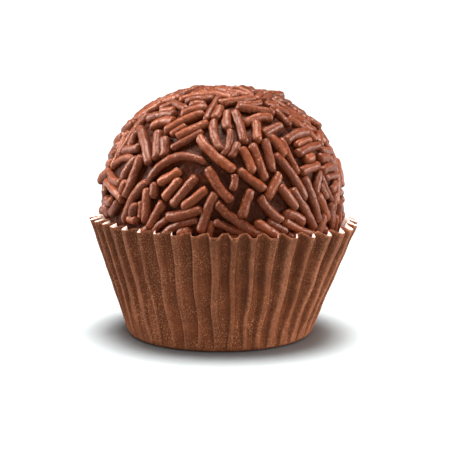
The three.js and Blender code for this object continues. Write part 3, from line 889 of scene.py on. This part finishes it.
def paper_material():
    """Brown paper with pale specks in patches and stains, a painted highlight along the ridges'
    left edges and over their tops, and painted light bounced from the floor, which leaves it
    darker high up.
    """
    m = Material("brown_paper")
    pale = (1.12, 1.1, 1.08, 1)
    fibres = zip((0.3, 0.6), (linear(*brown) for brown in PAPER_BROWNS))
    colour = m.ramp(m.noise(0.14 * MM, roughness=0.6), *fibres)
    specks = m.ramp(m.noise(0.15 * MM), (0.54, BLACK), (0.74, WHITE))
    patches = m.ramp(m.noise(3.5 * MM, detail=1), (0.38, grey(0.35)), (0.6, WHITE))
    specks = m.mix(1.0, specks, patches, "MULTIPLY")
    colour = m.mix(specks, colour, linear(*PAPER_SPECKS))
    # Painted highlight along the ridges' left edges and over their tops, broken up by noise
    broken = m.ramp(m.noise(0.5 * MM), (0.4, grey(0.2)), (0.55, grey(0.75)))
    painted_highlight = m.mix(1.0, m.attribute("painted_highlight").outputs["Color"], broken, "MULTIPLY")
    colour = m.mix(painted_highlight, colour, linear(*PAPER_HIGHLIGHT))
    stain = m.ramp(m.noise(2.5 * MM), (0.35, (0.86, 0.85, 0.84, 1)), (0.65, pale))
    # Painted bounce light from the floor: the paper is paler low down and darker high up
    axes = m.nodes.new("ShaderNodeSeparateXYZ")
    m.link(m.place, axes.inputs["Vector"])
    up = map_range(m.material.node_tree, axes.outputs["Z"], 0, WALL_LENGTH, 0, 1)
    darker = m.ramp(up, (0.1, pale), (0.9, (0.75, 0.74, 0.73, 1)))
    colour = m.mix(1.0, m.mix(1.0, colour, stain, "MULTIPLY"), darker, "MULTIPLY")
    m.link(colour, m.shader.inputs["Base Color"])
    m.shader.inputs["Roughness"].default_value = 0.8
    m.shader.inputs["Specular IOR Level"].default_value = 0.12
    m.bump((m.noise(0.2 * MM), 0.02 * MM))
    return m.material


def lining_material():
    """The pale cream side of the paper."""
    m = Material("cream_lining")
    blotches = zip((0.3, 0.7), (linear(*cream) for cream in LINING_CREAMS))
    m.link(m.ramp(m.noise(0.4 * MM), *blotches), m.shader.inputs["Base Color"])
    m.shader.inputs["Roughness"].default_value = 0.7
    return m.material


def floor_material():
    m = Material("white_floor")
    darker, paler = (0.312, 0.327, 0.329, 1), (0.318, 0.333, 0.335, 1)
    colour = m.ramp(m.noise(60 * MM, detail=1), (0.0, darker), (1.0, paler))
    m.link(colour, m.shader.inputs["Base Color"])
    m.shader.inputs["Roughness"].default_value = 0.9
    return m.material


# The stage -----------------------------------------------------------------------------------


def make_floor():
    far = FLOOR_REACH
    corners = [(-far, -far, 0), (far, -far, 0), (far, far, 0), (-far, far, 0)]
    floor = make_piece("floor", corners, [(0, 1, 2, 3)], (floor_material(),))
    floor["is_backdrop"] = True


def make_camera():
    height = math.radians(CAMERA_HEIGHT)
    data = bpy.data.cameras.new("camera")
    data.sensor_width = SENSOR_WIDTH
    data.lens = FOCAL_PIXELS / PICTURE_SIDE * data.sensor_width
    data.shift_x = (PICTURE_SIDE / 2 - AIM_PIXEL[0]) / PICTURE_SIDE
    data.shift_y = (AIM_PIXEL[1] - PICTURE_SIDE / 2) / PICTURE_SIDE
    data.clip_start = CLIP_START
    camera = bpy.data.objects.new("camera", data)
    camera.location = (
        0,
        -CAMERA_DISTANCE * math.cos(height),
        AIM_HEIGHT + CAMERA_DISTANCE * math.sin(height),
    )
    camera.rotation_euler = (math.pi / 2 - height, 0, 0)
    bpy.context.scene.collection.objects.link(camera)
    bpy.context.scene.camera = camera


def make_light(name, place, side, watts, lit=()):
    """A square soft light, in metres, aimed at the ball, that may light only some pieces."""
    data = bpy.data.lights.new(name, "AREA")
    data.shape = "SQUARE"
    data.size = side
    data.energy = watts
    light = bpy.data.objects.new(name, data)
    light.location = place
    aim = Vector(BALL_CENTRE) - light.location
    light.rotation_euler = aim.to_track_quat("-Z", "Y").to_euler()
    bpy.context.scene.collection.objects.link(light)
    if lit:
        receivers = bpy.data.collections.new(name)
        for piece in lit:
            receivers.objects.link(piece)
        light.light_linking.receiver_collection = receivers


def make_world():
    """A white background that gives way to a dim sky, which is brighter towards the back."""
    world = bpy.data.worlds.new("studio")
    world.use_nodes = True
    tree = world.node_tree
    nodes, links = tree.nodes, tree.links
    axes = nodes.new("ShaderNodeSeparateXYZ")
    links.new(nodes.new("ShaderNodeTexCoord").outputs["Generated"], axes.inputs["Vector"])
    strength = nodes.new("ShaderNodeMix")
    links.new(map_range(tree, axes.outputs["Z"], *SKY_RISE, 0, 1), strength.inputs["Factor"])
    strength.inputs["A"].default_value = BACKGROUND
    sky = map_range(tree, axes.outputs["Y"], -SKY_TURN, SKY_TURN, *SKY)
    links.new(sky, strength.inputs["B"])
    links.new(strength.outputs["Result"], nodes["Background"].inputs["Strength"])
    nodes["Background"].inputs["Color"].default_value = WHITE
    bpy.context.scene.world = world
    bpy.context.scene.view_settings.view_transform = "Standard"


def light_scene(ball, case):
    """A wide sun overhead, and soft lights round the sweet, in metres and watts."""
    make_world()
    sun = bpy.data.lights.new("overhead", "SUN")
    sun.energy = SUN_STRENGTH
    sun.angle = math.radians(SUN_WIDTH)
    light = bpy.data.objects.new("overhead", sun)
    light.rotation_euler = [math.radians(angle) for angle in SUN_TILT]
    bpy.context.scene.collection.objects.link(light)
    sweet = (*ball, case)
    make_light("key", place=(-0.26, 0, 0.18), side=0.1, watts=2.45, lit=ball)
    make_light("left", place=(-0.28, 0, 0.06), side=0.1, watts=0.75, lit=sweet)
    make_light("right", place=(0.3, 0, 0.09), side=0.1, watts=1.75, lit=sweet)
    make_light("front", place=(0.03, -0.36, 0.2), side=0.2, watts=0.65)
    make_light("low", place=(0.26, -0.2, 0.01), side=0.02, watts=0.4)


# The scene -----------------------------------------------------------------------------------

make_camera()
make_floor()

coat = spread_sprinkles()
fudge = make_fudge(coat, fudge_material())
sprinkles = make_sprinkles(coat, sprinkle_material())
for piece in (fudge, sprinkles):
    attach(piece, "root")
    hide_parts("ball")

case = make_case(paper_material(), lining_material())
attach(case, "root")
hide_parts("paper_case")

light_scene((fudge, sprinkles), case)

boxes = {"cad": cad_box, "visual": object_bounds()}
{name: [list(map(float, corner)) for corner in box] for name, box in boxes.items()}
